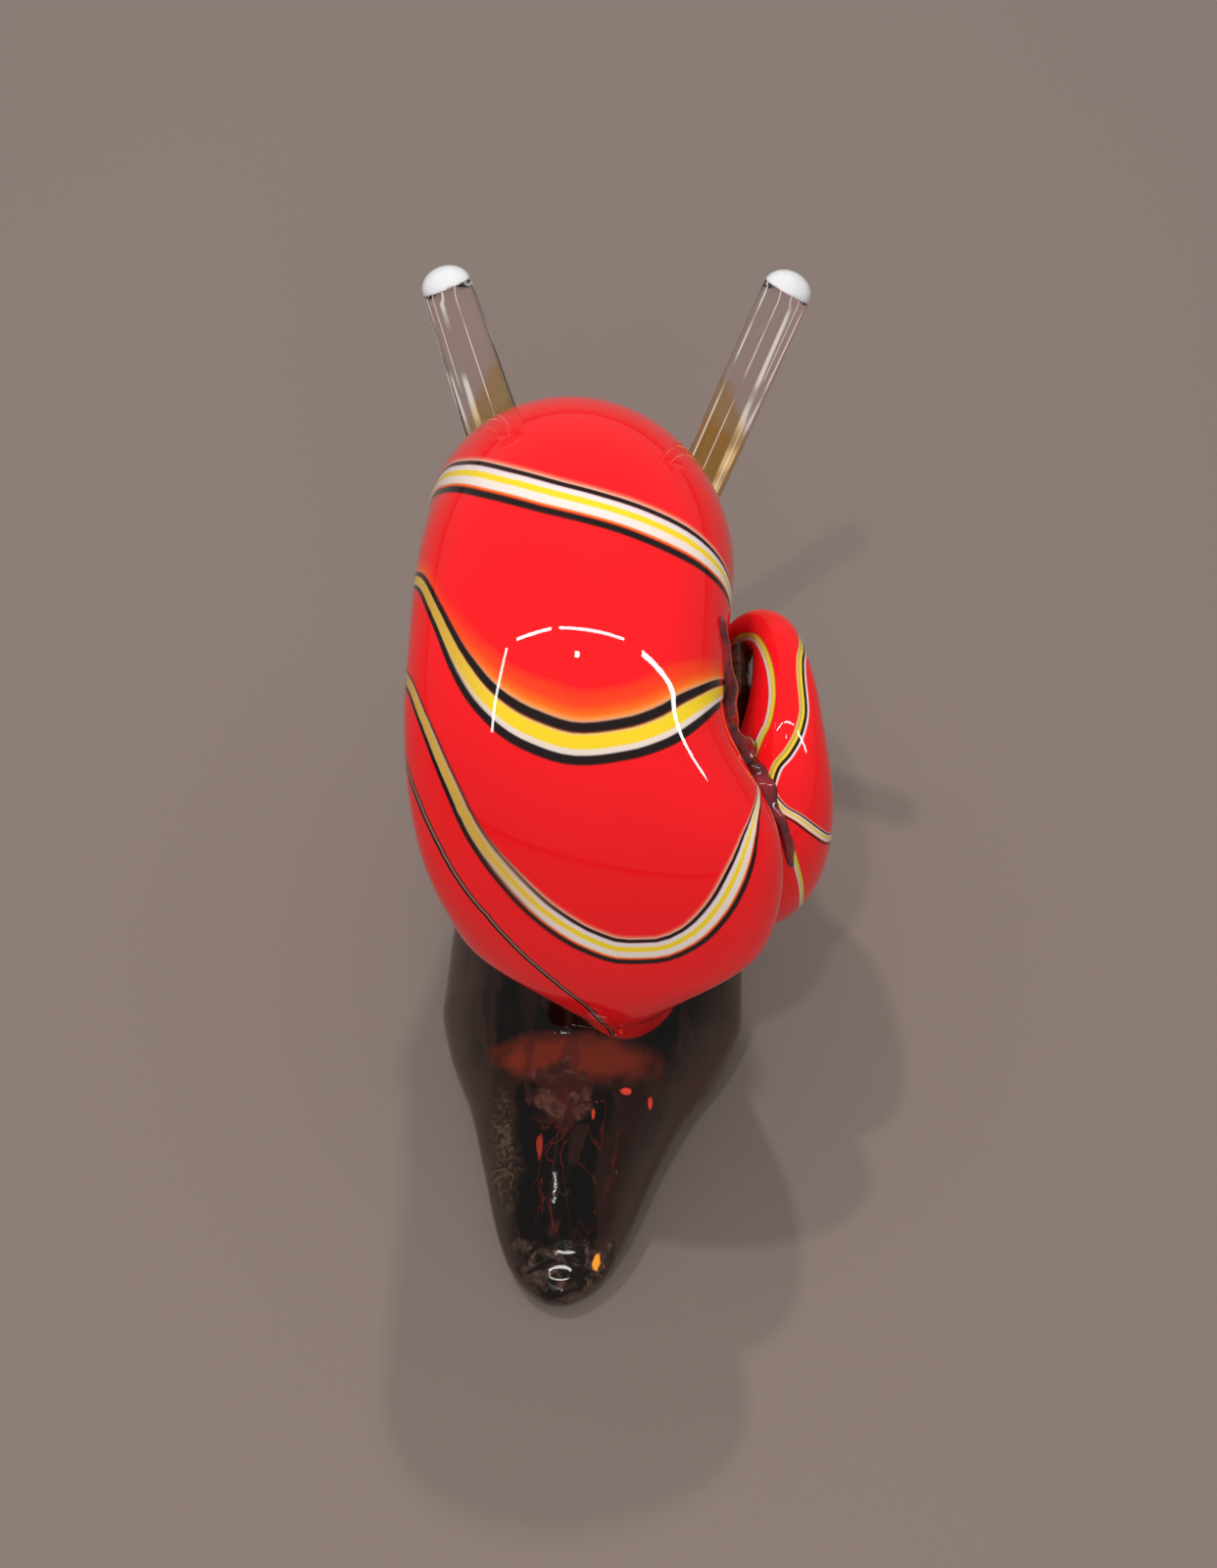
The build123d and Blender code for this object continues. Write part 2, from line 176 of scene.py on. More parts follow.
cane_b_route = [
    (-1010, 688), (-980, 660), (-930, 610), (-885, 565), (-850, 541), (-826, 524), (-804, 505), (-780, 489),
    (-762, 476), (-749, 463), (-745, 453), (-748, 444), (-757, 437), (-762, 430), (-757, 421), (-742, 414),
    (-724, 410), (-712, 406), (-704, 401), (-697, 395), (-689, 387), (-681, 376), (-668, 358), (-645, 336),
    (-600, 312), (-530, 270),
    (-450, 225), (-380, 190), (-330, 170), (-292, 157), (-240, 146), (-180, 137), (-120, 129), (-62, 113),
    (-46, 103), (-32, 93), (-21, 87), (-9, 83), (5, 81), (20, 82), (33, 84), (46, 87), (68, 91),
    (95, 93), (130, 92), (180, 87), (240, 80), (285, 75), (300, 69), (312, 60), (318, 54), (327, 46),
    (336, 38), (344, 32), (350, 26), (353, 16), (355, 8), (356, 4),
]
cane_a_width = 7.4
cane_b_width = 6.8
# Columns: angle wound round the horn, share of the cane's width left there
cane_a_width_shares = [
    (-1330, 0.16), (-1060, 0.27), (-1020, 0.29), (-900, 0.50), (-750, 0.70), (-600, 0.90), (-430, 0.94),
    (-380, 1.0), (-326, 1.0), (-306, 0.88), (-288, 0.70), (-240, 0.64), (-90, 0.50), (-55, 0.38), (-36, 0.46),
    (-16, 0.70), (15, 0.80), (38, 0.75), (50, 0.54), (63, 0.28), (80, 0.20), (294, 0.20),
]
cane_b_width_shares = [
    (-1010, 0.16), (-760, 0.24), (-724, 0.18), (-680, 0.17), (-620, 0.44), (-450, 0.80), (-292, 0.84),
    (-150, 0.66), (-64, 0.44), (-44, 0.50), (-26, 0.78), (-6, 1.0), (40, 1.0), (58, 0.80), (75, 0.62),
    (100, 0.54), (180, 0.50), (260, 0.40), (300, 0.24), (325, 0.17), (356, 0.16),
]


# On the inner side the turns of the coil stand close together, and a cane closes up
closing_start_share = 0.72
# A route is followed in steps of this many degrees
route_step = 0.5


def cane_line(route, width, width_shares):
    # Close steps along a route: turn, place on the horn, half width there, and the way across
    route = np.array(route, float)
    run = np.concatenate([[0], np.cumsum(np.hypot(*np.diff(route, axis=0).T))])
    steps = np.linspace(0, run[-1], int(run[-1] / route_step))
    around, turn = smooth(np.column_stack([run, route]), steps).T
    row = smooth(shell_rows, turn)
    inward = (row[:, 0] + row[:, 1] * np.cos(np.radians(around))) / (row[:, 0] + row[:, 1])
    half = width / 2 * smooth(width_shares, around)[:, 0] * np.minimum(inward / closing_start_share, 1)
    place = shell_place(turn, around)
    out = np.cross(shell_place(turn, around + 1) - place, shell_place(turn + 1, around) - place)
    ahead = np.gradient(place, axis=0)
    across = np.cross(out, ahead)
    across /= np.linalg.norm(across, axis=1)[:, None]
    return turn, place, half, across


def cane_shares(route, width, width_shares, turn_of, place_of):
    # For each corner: how many half widths it lies from the middle of the cane's yellow,
    # and the same with a sign, positive towards the mouth of the horn
    far_share = 9.0
    # Stretches of the cane that lie further off along the coil are left out of the search
    search_turn = 45
    line_turn, line_place, half, across = cane_line(route, width, width_shares)
    share = np.full(len(turn_of), far_share)
    signed = np.full(len(turn_of), far_share)
    for turn in np.unique(turn_of):
        here = turn_of == turn
        near = np.abs(line_turn - turn) < search_turn
        if not near.any():
            continue
        away = place_of[here][:, None] - line_place[near][None]
        distance = np.linalg.norm(away, axis=2)
        nearest = distance.argmin(axis=1)
        rows = np.arange(len(nearest))
        side = np.sign((away[rows, nearest] * across[near][nearest]).sum(axis=1))
        share[here] = np.minimum(distance[rows, nearest] / half[near][nearest], far_share)
        signed[here] = -side * share[here]
    return share, signed


shell = rolled_sheet("shell_red_horn", 96, 430)
flat = corners_of(shell)
shell_around = (flat[:, 0] + 1) * 180
# The rows stand closer together at the mouth, where the horn is gathered to a nub.
# Columns: place along the sheet, turn
row_marks = [(-1, -14), (-0.86, 20), (-0.70, 70), (0.40, 430), (0.85, 660), (1, 708)]
shell_turn = np.round(smooth(row_marks, flat[:, 1])[:, 0], 5)
shell_places = shell_place(shell_turn, shell_around)
for name, *cane in (
    ("cane_a", cane_a_route, cane_a_width, cane_a_width_shares),
    ("cane_b", cane_b_route, cane_b_width, cane_b_width_shares),
):
    share, signed = cane_shares(*cane, shell_turn, shell_places)
    keep_on(shell, name + "_share", share)
    keep_on(shell, name + "_signed", signed)
keep_on(shell, "turn", shell_turn)
roll_up(shell, shell_places)


class Sock:
    # A shader socket that takes part in sums; each sum adds a Math node
    def __init__(self, material, socket):
        self.material = material
        self.socket = socket

    def sum(self, kind, *others):
        return self.material.node("ShaderNodeMath", {"operation": kind}, [self, *others])

    def __add__(self, other):
        return self.sum("ADD", other)

    def __sub__(self, other):
        return self.sum("SUBTRACT", other)

    def __mul__(self, other):
        return self.sum("MULTIPLY", other)

    def __truediv__(self, other):
        return self.sum("DIVIDE", other)

    def __rsub__(self, other):
        return self * -1 + other

    __radd__ = __add__

    def step(self, low, high):
        # 0 below low, 1 above high, and smooth between
        return self.material.node(
            "ShaderNodeMapRange",
            {"interpolation_type": "SMOOTHSTEP"},
            {"Value": self, "From Min": low, "From Max": high, "To Min": 0.0, "To Max": 1.0},
        )


class Glass:
    # One finish: a Principled shader, whose plain values stand on its own sockets
    def __init__(self, name, values):
        self.material = bpy.data.materials.new(name)
        self.material.use_nodes = True
        self.tree = self.material.node_tree
        self.shader = self.tree.nodes["Principled BSDF"]
        for socket, value in values.items():
            self.shader.inputs[socket].default_value = value

    def node(self, kind, settings, inputs, output=0):
        made = self.tree.nodes.new(kind)
        for setting, value in settings.items():
            if setting == "stops":
                ramp = made.color_ramp
                while len(ramp.elements) < len(value):
                    ramp.elements.new(0.5)
                for element, (place, colour) in zip(ramp.elements, value):
                    element.position = place
                    element.color = colour
            else:
                setattr(made, setting, value)
        pairs = enumerate(inputs) if isinstance(inputs, list) else inputs.items()
        for socket, value in pairs:
            if isinstance(value, Sock):
                self.tree.links.new(value.socket, made.inputs[socket])
            else:
                made.inputs[socket].default_value = value
        return Sock(self, made.outputs[output])

    def number(self, name):
        return self.node("ShaderNodeAttribute", {"attribute_name": name}, {}, "Fac")

    def mix(self, factor, first, second):
        colours = [c if isinstance(c, Sock) else (*c, 1) for c in (first, second)]
        inputs = {0: factor, 6: colours[0], 7: colours[1]}
        return self.node("ShaderNodeMix", {"data_type": "RGBA"}, inputs, 2)

    def noise(self, scale, detail, place=None, distortion=0.0):
        if place is None:
            place = self.node("ShaderNodeTexCoord", {}, {}, "Object")
        values = {"Vector": place, "Scale": scale, "Detail": detail, "Distortion": distortion}
        return self.node("ShaderNodeTexNoise", {}, values)

    def feed(self, socket, value):
        self.tree.links.new(value.socket, self.shader.inputs[socket])

    def bump(self, height, strength, distance):
        values = {"Height": height, "Strength": strength, "Distance": distance}
        self.feed("Normal", self.node("ShaderNodeBump", {}, values))


red_glass = Glass("red_glass_under_clear", {
    "Roughness": 0.4,
    "Specular IOR Level": 0.0,
    "Coat Weight": 1.0,
    "Coat Roughness": 0.012,
    "Coat IOR": 1.5,
})
drift = red_glass.noise(26.0, 3.0)
red = red_glass.mix(drift, (0.76, 0.006, 0.010), (0.92, 0.010, 0.014))
# Colours across each cane, from one edge to the other. Columns: half widths from the middle of
# its yellow, positive towards the mouth, colour, and how far it covers the red
orange = (0.90, 0.16, 0.010)
cream = (0.78, 0.50, 0.34)
lavender = (0.72, 0.60, 0.62)
yellow = (0.86, 0.60, 0.020)
shaded_yellow = (0.60, 0.35, 0.050)
black = (0.012, 0.006, 0.006)
cane_a_colours = [
    (-1.15, orange, 0.0), (-0.92, cream, 0.35), (-0.83, cream, 0.75), (-0.76, black, 1.0),
    (-0.58, black, 1.0), (-0.53, (0.16, 0.02, 0.03), 1.0), (-0.47, lavender, 1.0),
    (-0.22, (0.76, 0.68, 0.62), 1.0), (-0.15, yellow, 1.0), (0.14, yellow, 1.0),
    (0.22, (0.80, 0.68, 0.60), 1.0), (0.60, (0.78, 0.66, 0.60), 1.0), (0.70, orange, 1.0),
    (0.80, (0.60, 0.04, 0.01), 1.0), (0.86, black, 1.0), (1.14, black, 1.0), (1.26, black, 0.0),
]
cane_b_colours = [
    (-2.60, orange, 0.0), (-1.8, (0.92, 0.09, 0.008), 0.5), (-1.30, (0.92, 0.16, 0.010), 0.9),
    (-1.08, (0.86, 0.28, 0.06), 1.0), (-1.00, (0.60, 0.30, 0.18), 1.0), (-0.93, black, 1.0),
    (-0.55, black, 1.0), (-0.48, (0.22, 0.04, 0.015), 1.0), (-0.40, (0.80, 0.50, 0.16), 1.0),
    (-0.30, yellow, 1.0), (0.26, yellow, 1.0), (0.34, (0.76, 0.64, 0.50), 1.0),
    (0.55, (0.74, 0.62, 0.56), 1.0), (0.62, black, 1.0), (1.00, black, 1.0), (1.10, black, 0.0),
]
# Down the left side both canes are drawn narrow, and hardly any white shows. There their yellow is painted
# darker and their edges near black, as painted shade on that side
cane_a_shaded_side_colours = [
    (-1.10, (0.10, 0.01, 0.01), 0.0), (-0.92, (0.12, 0.02, 0.01), 1.0), (-0.72, (0.16, 0.04, 0.02), 1.0),
    (-0.60, (0.52, 0.36, 0.24), 1.0), (-0.30, shaded_yellow, 1.0), (0.34, shaded_yellow, 1.0),
    (0.50, (0.46, 0.30, 0.18), 1.0), (0.60, black, 1.0), (1.02, black, 1.0), (1.14, black, 0.0),
]
cane_b_shaded_side_colours = [
    (-1.90, orange, 0.0), (-1.25, (0.92, 0.12, 0.008), 0.25), (-1.06, (0.50, 0.03, 0.01), 0.5),
    (-0.97, black, 1.0), (-0.50, black, 1.0), (-0.42, shaded_yellow, 1.0), (0.44, shaded_yellow, 1.0), (0.54, black, 1.0),
    (0.96, black, 1.0), (1.08, black, 0.0),
]
# At the mouth the second cane is drawn down to a dark thread
cane_b_mouth_colours = [
    (-1.20, black, 0.0), (-0.98, (0.06, 0.010, 0.010), 1.0), (-0.50, (0.10, 0.03, 0.02), 1.0),
    (-0.36, (0.36, 0.17, 0.12), 1.0), (0.02, (0.36, 0.17, 0.12), 1.0), (0.20, black, 1.0),
    (0.98, black, 1.0), (1.12, black, 0.0),
]
# On the small coil both canes are drawn thin, and less of each shows
cane_a_coil_colours = [
    (-1.20, lavender, 0.0), (-1.10, lavender, 1.0), (-0.78, (0.78, 0.62, 0.58), 1.0), (-0.70, black, 1.0),
    (-0.22, black, 1.0), (-0.12, (0.36, 0.24, 0.02), 1.0), (0.0, yellow, 1.0),
    (0.50, (0.62, 0.44, 0.04), 1.0), (0.62, (0.20, 0.10, 0.02), 1.0), (0.72, (0.66, 0.50, 0.16), 1.0),
    (1.00, (0.55, 0.36, 0.10), 1.0), (1.12, orange, 0.0),
]
cane_b_coil_colours = [
    (-1.10, (0.16, 0.07, 0.02), 0.0), (-1.00, (0.20, 0.10, 0.02), 1.0), (-0.84, (0.50, 0.36, 0.03), 1.0),
    (-0.60, (0.66, 0.50, 0.03), 1.0), (0.02, (0.66, 0.52, 0.05), 1.0), (0.10, (0.34, 0.24, 0.05), 1.0),
    (0.20, (0.62, 0.52, 0.42), 1.0), (0.82, (0.66, 0.54, 0.50), 1.0), (0.94, (0.20, 0.05, 0.03), 1.0),
    (1.06, black, 0.0),
]
# The colours run over this many half widths in all
paint_span = 6


def cane_paint(name, colours):
    # The colours of a cane across its width, and how far they cover the red
    spread = 1 + (red_glass.noise(60.0, 2.0) - 0.5) * 0.12
    across = red_glass.number(name + "_signed") * spread / paint_span + 0.5
    stops = [(share / paint_span + 0.5, (*colour, cover)) for share, colour, cover in colours]
    ramp = red_glass.node("ShaderNodeValToRGB", {"stops": stops}, {0: across})
    return ramp, Sock(red_glass, ramp.socket.node.outputs["Alpha"])


# Where each set of colours holds: down the left side, where the colours carry painted shade, near the mouth
# and on the coil
turn = red_glass.number("turn")
place = red_glass.node("ShaderNodeTexCoord", {}, {}, "Object")
sideways = red_glass.node("ShaderNodeVectorMath", {"operation": "DOT_PRODUCT"}, [place, (1, 0, 0)], 1)
low_side = 1 - turn.step(108.0, 122.4)
near_mouth = 1 - turn.step(69.12, 77.76)
for name, main_colours, other_colours in (
    ("cane_a", cane_a_colours, (
        (cane_a_shaded_side_colours, (1 - sideways.step(-24 * mm, -4 * mm)) * low_side),
        (cane_a_coil_colours, turn.step(417.6, 424.8)),
    )),
    ("cane_b", cane_b_colours, (
        (cane_b_shaded_side_colours, (1 - sideways.step(-30 * mm, -16 * mm)) * low_side),
        (cane_b_mouth_colours, near_mouth),
        (cane_b_coil_colours, turn.step(352.8, 360.0)),
    )),
):
    paint, cover = cane_paint(name, main_colours)
    for colours, holds in other_colours:
        other_paint, other_cover = cane_paint(name, colours)
        cover = cover * (1 - holds) + other_cover * holds
        paint = red_glass.mix(holds, paint, other_paint)
    near_cane = 1 - red_glass.number(name + "_share").step(2.6, 2.9)
    red = red_glass.mix(cover * near_cane, red, paint)
red_glass.feed("Base Color", red)
shell.data.materials.append(red_glass.material)
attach(shell, "root")
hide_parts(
    "shell_casing", "shell_bubble",
    "cane_a_yellow", "cane_a_white", "cane_a_black",
    "cane_b_yellow", "cane_b_white", "cane_b_black",
)


# Seam: dark maroon glass, where the horn's turns touch and were welded to each other hot.
# It stands up as a lumpy lip on the side of the whorl. A near-black lump closes the eye of the coil; its dark
# colour is painted shade for the deep eye.
# It is fused to the whorl, the coil and the horn's tip.
eye_place = (21.8, 9.4, 82.0)
eye_radii = (4.2, 12.5, 12.5)
# Columns: place along, side, front and height, radius
seam_rows = [
    (0, 16.6, -4.2, 122.5, 0.3),
    (1, 17.3, -6.0, 119.5, 1.1),
    (2, 18.2, -9.0, 112.0, 1.5),
    (3, 19.0, -11.0, 105.0, 2.0),
    (4, 20.4, -12.4, 99.0, 2.4),
    (5, 22.4, -12.4, 95.0, 3.0),
    (6, 24.5, -15.3, 93.6, 2.7),
    (7, 27.0, -18.9, 91.6, 2.2),
    (8, 29.6, -23.0, 88.2, 1.6),
    (9, 31.6, -25.4, 83.0, 0.9),
    (10, 33.2, -26.4, 77.0, 0.3),
]

seam = rolled_sheet("shell_seam_lip", 40, 160)
flat = corners_of(seam)
seam_end = seam_rows[-1][0]
along = (flat[:, 1] + 1) / 2 * seam_end
angle = (flat[:, 0] + 1) * np.pi
row = smooth(seam_rows, along)
little = 0.05
ahead = smooth(seam_rows, np.minimum(along + little, seam_end))[:, :3]
ahead -= smooth(seam_rows, np.maximum(along - little, 0))[:, :3]
ahead /= np.linalg.norm(ahead, axis=1)[:, None]
first = np.cross(ahead, (0.3, 1.0, 0.2))
first /= np.linalg.norm(first, axis=1)[:, None]
second = np.cross(ahead, first)
large_lumps = 0.22 * np.sin(along * 2.9 + 1.4 * np.cos(angle))
small_lumps = 0.10 * np.sin(along * 6.7 + 2 * np.sin(angle))
reach = (row[:, 3] * (1 + large_lumps + small_lumps))[:, None]
outward = first * np.cos(angle)[:, None] + second * np.sin(angle)[:, None]
roll_up(seam, row[:, :3] + reach * outward)

# The lump in the coil's eye: its near-black brown is painted shade, standing for the dark inside the eye
bpy.ops.object.select_all(action="DESELECT")
bpy.ops.mesh.primitive_uv_sphere_add(segments=96, ring_count=48, radius=1)
eye = bpy.context.object
eye.name = "shell_eye_shade_lump"
eye.data.name = "shell_eye_shade_lump"
flat = corners_of(eye)
angle = np.arctan2(flat[:, 2], flat[:, 1])
lumps = 1 + 0.05 * np.sin(3 * angle + 1) + 0.04 * np.sin(7 * angle) + 0.02 * np.sin(12 * angle + 2)
eye.data.vertices.foreach_set("co", ((flat * eye_radii * lumps[:, None] + eye_place) * mm).ravel())
eye.data.update()
bpy.ops.object.shade_smooth()

seam_glass = Glass("dark_maroon_glass", {
    "Roughness": 0.10,
    "Coat Weight": 1.0,
    "Coat Roughness": 0.02,
})
seam_drift = seam_glass.noise(130.0, 3.0, distortion=0.8).step(0.38, 0.66)
seam_colour = seam_glass.mix(seam_drift, (0.060, 0.007, 0.009), (0.26, 0.016, 0.022))
seam_glass.feed("Base Color", seam_colour)
seam_glass.bump(seam_glass.noise(160.0, 2.0, distortion=1.0), 0.35, 0.0010)
eye_shade_finish = Glass("eye_painted_shade", {
    "Roughness": 0.20,
    "Coat Weight": 0.6,
    "Coat Roughness": 0.05,
})
eye_drift = eye_shade_finish.noise(240.0, 4.0, distortion=1.0).step(0.40, 0.70)
eye_colour = eye_shade_finish.mix(eye_drift, (0.016, 0.007, 0.005), (0.080, 0.034, 0.022))
eye_shade_finish.feed("Base Color", eye_colour)
eye_shade_finish.bump(eye_shade_finish.noise(300.0, 3.0), 0.5, 0.0012)
for piece, finish in ((seam, seam_glass), (eye, eye_shade_finish)):
    piece.data.materials.append(finish.material)
    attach(piece, "root")


# Body: one gather of smoky amber glass, pulled out into the tail, foot, neck and head.
# It is worked on the marver and with jacks, which leaves marks on the tail.
# The foot is ground flat where it stands.
tail_reach = 94.0
foot_half_width = 32.5
foot_height = 38.0
head_half_width = 19.5
head_height = 67.5
head_reach = 76.9
head_side_place = -5.5
body_centre_x = -2.5
# Columns: place back to front (of tail_reach), middle height (of foot_height),
# half height (of foot_height), half width and side place (of foot_half_width)
foot_rows = [
    (-1.000, 0.118, 0.066, 0.080, -0.185),
    (-0.985, 0.124, 0.110, 0.170, -0.184),
    (-0.955, 0.140, 0.155, 0.270, -0.182),
    (-0.890, 0.195, 0.225, 0.385, -0.175),
    (-0.745, 0.265, 0.305, 0.540, -0.155),
    (-0.620, 0.340, 0.395, 0.690, -0.120),
    (-0.490, 0.400, 0.510, 0.905, -0.080),
    (-0.385, 0.415, 0.535, 1.000, -0.062),
    (-0.240, 0.415, 0.530, 1.000, -0.060),
    (-0.105, 0.420, 0.535, 0.985, -0.065),
    (0.060, 0.425, 0.545, 0.945, -0.085),
]
# Columns: place towards the head (of head_reach), middle height (of head_height), tilt,
# half depth (of head_height), half width (of head_half_width)
neck_rows = [
    (0.260, 0.295, 4, 0.355, 1.48),
    (0.455, 0.370, 15, 0.385, 1.31),
    (0.640, 0.480, 35, 0.330, 1.13),
    (0.765, 0.620, 55, 0.255, 1.08),
    (0.822, 0.770, 72, 0.205, 1.05),
    (0.818, 0.895, 84, 0.172, 0.930),
    (0.808, 0.965, 89, 0.118, 0.640),
    (0.803, 0.997, 90, 0.048, 0.250),
]
# Rows of one table: along, middle height, side place, half width, half height, tilt
body_rows = []
for back, middle, half_height, half_width, side in foot_rows:
    body_rows.append((
        back * tail_reach, middle * foot_height, side * foot_half_width,
        half_width * foot_half_width, half_height * foot_height, 0.0,
    ))
for ahead, middle, tilt, half_depth, half_width in neck_rows:
    body_rows.append((
        ahead * head_reach, middle * head_height, head_side_place,
        half_width * head_half_width, half_depth * head_height, tilt,
    ))
body_rows = np.array(body_rows)
body_run = np.concatenate([[0], np.cumsum(np.hypot(*np.diff(body_rows[:, :2], axis=0).T))])
body_table = np.column_stack([body_run, body_rows])

body = rolled_sheet("body_amber_gather", 128, 220)
flat = corners_of(body)
row = smooth(body_table, (flat[:, 1] + 1) / 2 * body_run[-1])
angle = (flat[:, 0] + 1) * np.pi
# Nearly an ellipse above, and squarer below
roundness = np.where(np.sin(angle) > 0, 2.2, 3.0)
width_part = (np.abs(np.cos(angle)) / row[:, 3]) ** roundness
height_part = (np.abs(np.sin(angle)) / row[:, 4]) ** roundness
reach = (width_part + height_part) ** (-1 / roundness)
rise = reach * np.sin(angle)
tilt = np.radians(row[:, 5])
body_places = np.column_stack([
    body_centre_x + row[:, 2] + reach * np.cos(angle),
    axis_place[1] + row[:, 0] - rise * np.sin(tilt),
    np.maximum(row[:, 1] + rise * np.cos(tilt), 0),
])
# How far out to the side each corner lies, for the lighter colour along the edges: partly the thinner,
# clearer glass there and partly painted reflection
keep_on(body, "sideways", np.abs(np.cos(angle)))
roll_up(body, body_places)

amber_glass = Glass("amber_glass", {
    "Roughness": 0.03,
    "IOR": 1.5,
    "Specular IOR Level": 0.36,
    "Transmission Weight": 0.60,
    "Emission Strength": 1.0,
})
amber_absorption = amber_glass.tree.nodes.new("ShaderNodeVolumeAbsorption")
amber_absorption.inputs["Color"].default_value = (0.80, 0.45, 0.25, 1)
amber_absorption.inputs["Density"].default_value = 60.0
amber_volume = amber_glass.tree.nodes["Material Output"].inputs["Volume"]
amber_glass.tree.links.new(amber_absorption.outputs[0], amber_volume)


def patch(glass, place, radii, edge=0.35, ragged=0.5):
    # 1 in a ragged patch round a place, with radii both in mm, and 0 well outside it
    here = glass.node("ShaderNodeTexCoord", {}, {}, "Object")
    away = glass.node("ShaderNodeVectorMath", {"operation": "SUBTRACT"}, [here, Vector(place) * mm])
    away = glass.node("ShaderNodeVectorMath", {"operation": "DIVIDE"}, [away, Vector(radii) * mm])
    far = glass.node("ShaderNodeVectorMath", {"operation": "LENGTH"}, [away], 1)
    far = far + (glass.noise(260.0, 4.0) - 0.5) * ragged
    return 1 - far.step(1 - edge, 1 + edge)


# The glass was pulled out towards the tail, so what lies in it is drawn out that way too
drawn = amber_glass.node("ShaderNodeTexCoord", {}, {}, "Object")
drawn = amber_glass.node("ShaderNodeVectorMath", {"operation": "MULTIPLY"}, [drawn, (1.5, 0.5, 1.0)])
smoke = amber_glass.noise(42.0, 3.0, drawn, 1.2).step(0.46, 0.56)
folds = amber_glass.noise(95.0, 2.0, drawn, 1.6).step(0.54, 0.60)
tint = amber_glass.mix(smoke, (0.007, 0.004, 0.003), (0.052, 0.018, 0.011))
tint = amber_glass.mix(folds * 0.6, tint, (0.095, 0.034, 0.024))
# Lighter towards the side edges: partly thinner glass, partly painted reflection
edge_drift = (amber_glass.noise(60.0, 2.0) - 0.5) * 0.16
edge_light = (amber_glass.number("sideways") + edge_drift).step(0.74, 1.02)
tint = amber_glass.mix(edge_light * 0.85, tint, (0.170, 0.108, 0.084))
fine = amber_glass.noise(520.0, 5.0, distortion=1.6).step(0.42, 0.64)
coarse = amber_glass.noise(150.0, 3.0, distortion=2.6).step(0.44, 0.60)
crackle = coarse * (fine * 0.6 + 0.4)
threads = 1 - (amber_glass.noise(110.0, 2.0, drawn, 1.0) - 0.5).sum("ABSOLUTE").step(0.002, 0.014)

# The marks that show in the tail: a painted red glow under the shell, standing for light through the glass, a
# paler right side, wrinkles on the left, gold along the left edge, a crackled tail end, red threads in the
# middle, and painted highlight specks there that glow by emission
# Painted light: a red glow under the shell, for light coming through the glass there
painted_glow_patch = patch(amber_glass, (-7.0, -43.8, 31.0), (15.0, 3.8, 7.0), 0.5, 1.0)
tint = amber_glass.mix(painted_glow_patch * (1 - folds * 0.4), tint, (0.50, 0.056, 0.020))
side_patch = patch(amber_glass, (21.0, -44.0, 18.0), (7.0, 10.0, 9.0), 0.5, 1.2)
tint = amber_glass.mix(side_patch * 0.6, tint, (0.150, 0.052, 0.032))
wrinkle_patch = patch(amber_glass, (-9.0, -50.0, 28.0), (6.0, 5.5, 6.0), 0.3, 2.2)
wrinkles = amber_glass.mix(crackle, (0.120, 0.026, 0.016), (0.42, 0.150, 0.110))
tint = amber_glass.mix(wrinkle_patch, tint, wrinkles)
for place, radii in (
    ((-21.2, -54.0, 22.0), (2.2, 6.0, 5.0)),
    ((-20.2, -63.0, 18.0), (3.0, 8.0, 5.0)),
):
    gold_patch = patch(amber_glass, place, radii, 0.6, 1.2)
    gold = amber_glass.mix(fine, (0.060, 0.032, 0.018), (0.26, 0.160, 0.092))
    tint = amber_glass.mix(gold_patch * 0.8, tint, gold)
tail_patch = patch(amber_glass, (-6.5, -80.5, 11.0), (11.0, 5.0, 6.0), 0.3, 2.2)
tail_tint = amber_glass.mix(crackle, (0.020, 0.010, 0.007), (0.34, 0.19, 0.145))
tint = amber_glass.mix(tail_patch * 0.8, tint, tail_tint)
inner_patch = patch(amber_glass, (-6.5, -61.0, 21.0), (9.0, 17.0, 9.0), 0.5, 0.6)
tint = amber_glass.mix(inner_patch * threads * 0.8, tint, (0.30, 0.022, 0.010))
amber_glass.feed("Base Color", tint)
# Painted highlights: sparks in the middle and at the tail end, glowing by emission
sparks = amber_glass.noise(240.0, 2.0, drawn, 1.6).step(0.735, 0.760)
spark_drift = amber_glass.noise(120.0, 1.0).step(0.50, 0.6)
spark_colour = amber_glass.mix(spark_drift, (0.45, 0.020, 0.010), (0.62, 0.16, 0.02))
spark_patches = inner_patch + tail_patch + patch(amber_glass, (5.0, -49.5, 26.0), (6.5, 4.0, 5.0))
glints = amber_glass.mix(sparks * spark_patches, (0, 0, 0), spark_colour)
# Painted highlights, one by one: small orange and red spots, glowing by emission
for place, radii, colour in (
    ((-0.6, -78.8, 10.6), (0.8, 2.4, 2.4), (1.0, 0.34, 0.02)),
    ((3.6, -48.6, 26.8), (1.1, 0.5, 1.2), (0.60, 0.04, 0.02)),
    ((8.8, -50.2, 24.4), (0.4, 1.1, 0.9), (0.55, 0.03, 0.025)),
    ((-2.6, -53.4, 25.4), (0.4, 1.2, 0.8), (0.50, 0.04, 0.02)),
    ((-13.2, -59.6, 21.6), (0.5, 2.6, 1.4), (0.30, 0.02, 0.012)),
):
    glints = amber_glass.mix(patch(amber_glass, place, radii, 0.3, 3.2), glints, colour)
amber_glass.feed("Emission Color", glints)
waves = amber_glass.noise(30.0, 2.0, distortion=0.6) * 1.2
waves = waves + amber_glass.noise(150.0, 2.0, distortion=1.0) * 0.30
amber_glass.bump(waves * (1 - tail_patch) + crackle * wrinkle_patch * 0.12, 0.22, 0.0014)
body.data.materials.append(amber_glass.material)
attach(body, "root")
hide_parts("body")


